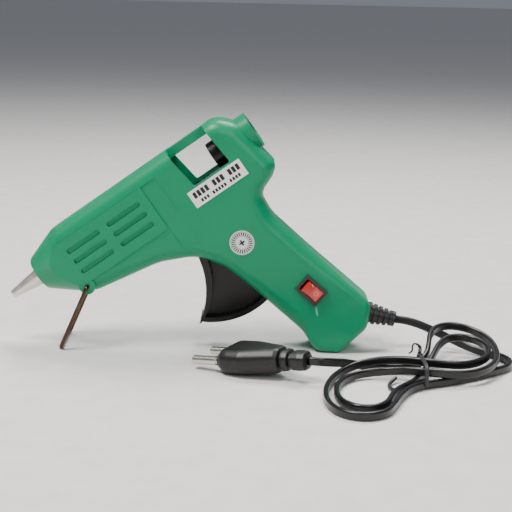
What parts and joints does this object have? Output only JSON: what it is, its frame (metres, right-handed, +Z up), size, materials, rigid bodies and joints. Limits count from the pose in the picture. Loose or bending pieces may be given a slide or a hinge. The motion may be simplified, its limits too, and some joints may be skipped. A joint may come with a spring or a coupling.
{
  "type": "glue gun",
  "caption": "Hot-melt glue gun with a swinging trigger, fold-out wire stand, rocker switch, stick window, and a tied flat mains cord with a two-pin plug.",
  "frame": {"origin": "on the floor under the middle of the standing gun, cord left out", "axes": "+X from the nozzle to the rear of the gun, +Y to its right side, +Z up; the gun stands leaned back on its wire stand and the toe of its handle"},
  "size_m": [0.2803, 0.1465, 0.1311],
  "materials": {
    "green_plastic": "moulded, fine satin texture",
    "black_plastic": "moulded, satin gloss",
    "red_plastic": "translucent red, glossy",
    "aluminium": "cast and turned, matt",
    "steel": "plated",
    "spring_wire": "copper-brown coated wire",
    "brass": "stamped",
    "nickel": "nickel plated pins",
    "silicone": "heat-proof silicone",
    "black_rubber": "soft moulded PVC",
    "ceramic": "insulated heater block",
    "label_white": "printed film",
    "lead": "insulated wire"
  },
  "bodies": {
    "gun": {"left_housing": "green_plastic", "right_housing": "green_plastic", "housing_screws": "steel", "nozzle": "aluminium", "nozzle_washer": "silicone", "heating_chamber": "aluminium", "ptc_heater": "ceramic", "heater_clip": "steel", "inlet_sleeve": "silicone", "sleeve_clamp": "steel", "trigger_pivot_pin": "steel", "return_spring": "steel", "switch_frame": "black_plastic", "switch_terminals": "brass", "label": "label_white", "round_sticker": "label_white", "strain_relief": "black_rubber", "cord_clamp": "black_plastic", "clamp_screws": "steel", "live_lead": "lead", "neutral_lead": "lead", "plug_body": "black_rubber", "plug_pins": "nickel", "cord_lead": "black_rubber", "cord_tail": "black_rubber", "cord_hank": "black_rubber", "twist_tie": "black_rubber"},
    "trigger": {"trigger": "black_plastic"},
    "carriage": {"carriage": "black_plastic", "drive_pin": "steel", "gripper_pin": "steel"},
    "gripper": {"gripper": "black_plastic"},
    "stand": {"wire_stand": "spring_wire"},
    "rocker": {"rocker": "red_plastic"}
  },
  "joints": [
    {"name": "trigger_pull", "type": "hinge", "parent": "gun", "child": "trigger", "pos_m": [0.00378, 0, 0.05899], "axis": [0, -1, 0], "range_deg": [0, 28], "stiffness_Nm_per_rad": 0.4, "springref_deg": -17.19, "deforming": ["return_spring"]},
    {"name": "carriage_slide", "type": "slide", "parent": "gun", "child": "carriage", "axis": [-0.8118, 0, -0.584], "range_m": [0, 0.01197]},
    {"name": "gripper_tilt", "type": "hinge", "parent": "carriage", "child": "gripper", "pos_m": [0.00221, 0, 0.0894], "axis": [0, -1, 0], "range_deg": [0, 6]},
    {"name": "stand_fold", "type": "hinge", "parent": "gun", "child": "stand", "pos_m": [-0.06344, 0, 0.03564], "axis": [0, -1, 0], "range_deg": [0, 126]},
    {"name": "rocker_switch", "type": "hinge", "parent": "gun", "child": "rocker", "pos_m": [0.05966, -0.0136, 0.03626], "axis": [-0.6477, 0, -0.7619], "range_deg": [0, 20]}
  ],
  "couplings": [
    {"joint": "carriage_slide", "follows": "trigger_pull", "m_per_rad": 0.024489},
    {"joint": "gripper_tilt", "follows": "trigger_pull", "ratio": 0.21429}
  ]
}
